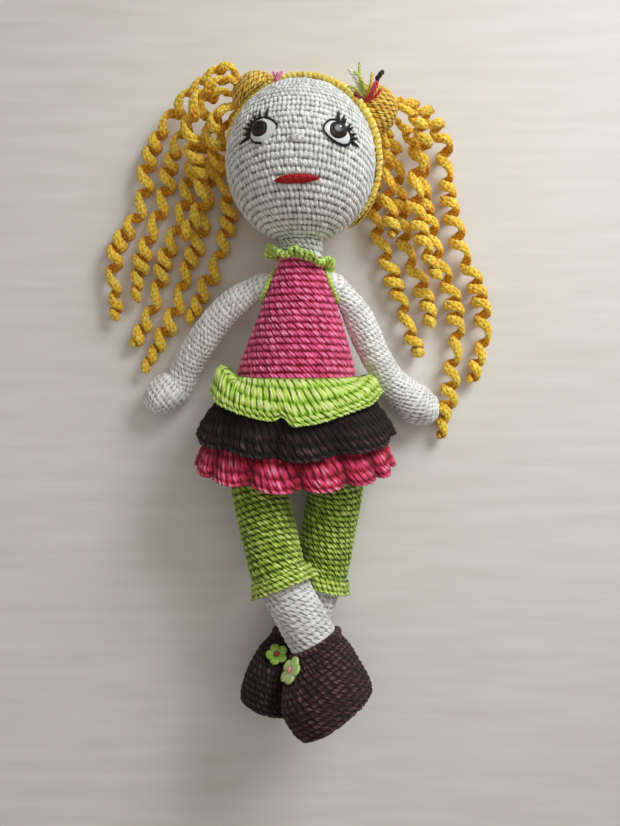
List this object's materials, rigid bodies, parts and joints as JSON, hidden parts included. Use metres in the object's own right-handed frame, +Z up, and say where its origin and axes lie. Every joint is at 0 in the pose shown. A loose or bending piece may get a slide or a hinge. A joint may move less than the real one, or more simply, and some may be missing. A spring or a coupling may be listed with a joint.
{
  "type": "crochet doll",
  "caption": "Stuffed crochet doll lying on its back with crossed ankles, corkscrew pigtails, a tiered skirt and booties; the head, arms and legs turn at their seams.",
  "frame": {"origin": "middle of the doll's bounding box, locks of hair left out, on the surface it lies on", "axes": "+Z up out of the doll's face, +Y from the feet towards the head, +X to the doll's left"},
  "size_m": [0.2313, 0.375, 0.0874],
  "materials": {
    "cream_cotton": "matte",
    "yellow_cotton": "matte",
    "pink_cotton": "matte",
    "green_cotton": "matte",
    "leg_green_cotton": "matte",
    "brown_cotton": "matte",
    "eye_white": "gloss",
    "iris_black": "gloss",
    "black_thread": "matte",
    "mouth_satin": "satin",
    "fibrefill": "matte",
    "flower_plastic": "satin"
  },
  "bodies": {
    "torso": {"torso_shell": "pink_cotton", "torso_stuffing": "fibrefill", "collar": "green_cotton", "skirt_tier_green": "green_cotton", "skirt_tier_brown": "brown_cotton", "skirt_tier_pink": "pink_cotton"},
    "head": {"head_shell": "cream_cotton", "head_stuffing": "fibrefill", "hair_cap": "yellow_cotton", "right_bun": "yellow_cotton", "left_bun": "yellow_cotton", "right_bun_tie": "pink_cotton", "left_bun_tie": "pink_cotton", "right_eye_white": "eye_white", "left_eye_white": "eye_white", "right_iris": "iris_black", "left_iris": "iris_black", "right_lashes": "black_thread", "left_lashes": "black_thread", "nose": "cream_cotton", "mouth": "mouth_satin", "right_curl_1": "yellow_cotton", "right_curl_2": "yellow_cotton", "right_curl_3": "yellow_cotton", "right_curl_4": "yellow_cotton", "right_curl_5": "yellow_cotton", "right_curl_6": "yellow_cotton", "left_curl_1": "yellow_cotton", "left_curl_2": "yellow_cotton", "left_curl_3": "yellow_cotton", "left_curl_4": "yellow_cotton", "left_curl_5": "yellow_cotton", "left_curl_6": "yellow_cotton"},
    "right_arm": {"right_arm": "cream_cotton", "right_arm_stuffing": "fibrefill", "right_armhole_trim": "green_cotton"},
    "right_leg": {"right_legging": "leg_green_cotton", "right_cuff": "leg_green_cotton", "right_ankle": "cream_cotton", "right_shoe": "brown_cotton", "right_leg_stuffing": "fibrefill", "right_shoe_stuffing": "fibrefill", "right_flower_button": "flower_plastic", "right_flower_knot": "pink_cotton"},
    "left_arm": {"left_arm": "cream_cotton", "left_arm_stuffing": "fibrefill", "left_armhole_trim": "green_cotton"},
    "left_leg": {"left_legging": "leg_green_cotton", "left_cuff": "leg_green_cotton", "left_ankle": "cream_cotton", "left_shoe": "brown_cotton", "left_leg_stuffing": "fibrefill", "left_shoe_stuffing": "fibrefill", "left_flower_button": "flower_plastic", "left_flower_knot": "pink_cotton"}
  },
  "joints": [
    {"name": "neck_turn", "type": "hinge", "parent": "torso", "child": "head", "pos_m": [0.0055, 0.0873, 0.0442], "axis": [0, 1, 0], "range_deg": [-25, 25], "deforming": ["right_curl_1", "right_curl_2", "right_curl_3", "right_curl_4", "right_curl_5", "right_curl_6", "left_curl_1", "left_curl_2", "left_curl_3", "left_curl_4", "left_curl_5", "left_curl_6"]},
    {"name": "right_shoulder", "type": "hinge", "parent": "torso", "child": "right_arm", "pos_m": [-0.0117, 0.0627, 0.0359], "axis": [-0.9285, 0.3714, 0], "range_deg": [-15, 110]},
    {"name": "left_shoulder", "type": "hinge", "parent": "torso", "child": "left_arm", "pos_m": [0.0209, 0.0627, 0.0359], "axis": [-0.9285, -0.3714, 0], "range_deg": [-15, 110]},
    {"name": "left_hip", "type": "hinge", "parent": "torso", "child": "left_leg", "pos_m": [0.023, -0.0303, 0.03], "axis": [-1, 0, 0], "range_deg": [0, 65], "deforming": ["skirt_tier_green", "skirt_tier_brown", "skirt_tier_pink"]},
    {"name": "right_hip", "type": "hinge", "parent": "left_leg", "child": "right_leg", "pos_m": [-0.017, -0.0303, 0.03], "axis": [-1, 0, 0], "range_deg": [0, 15]}
  ]
}
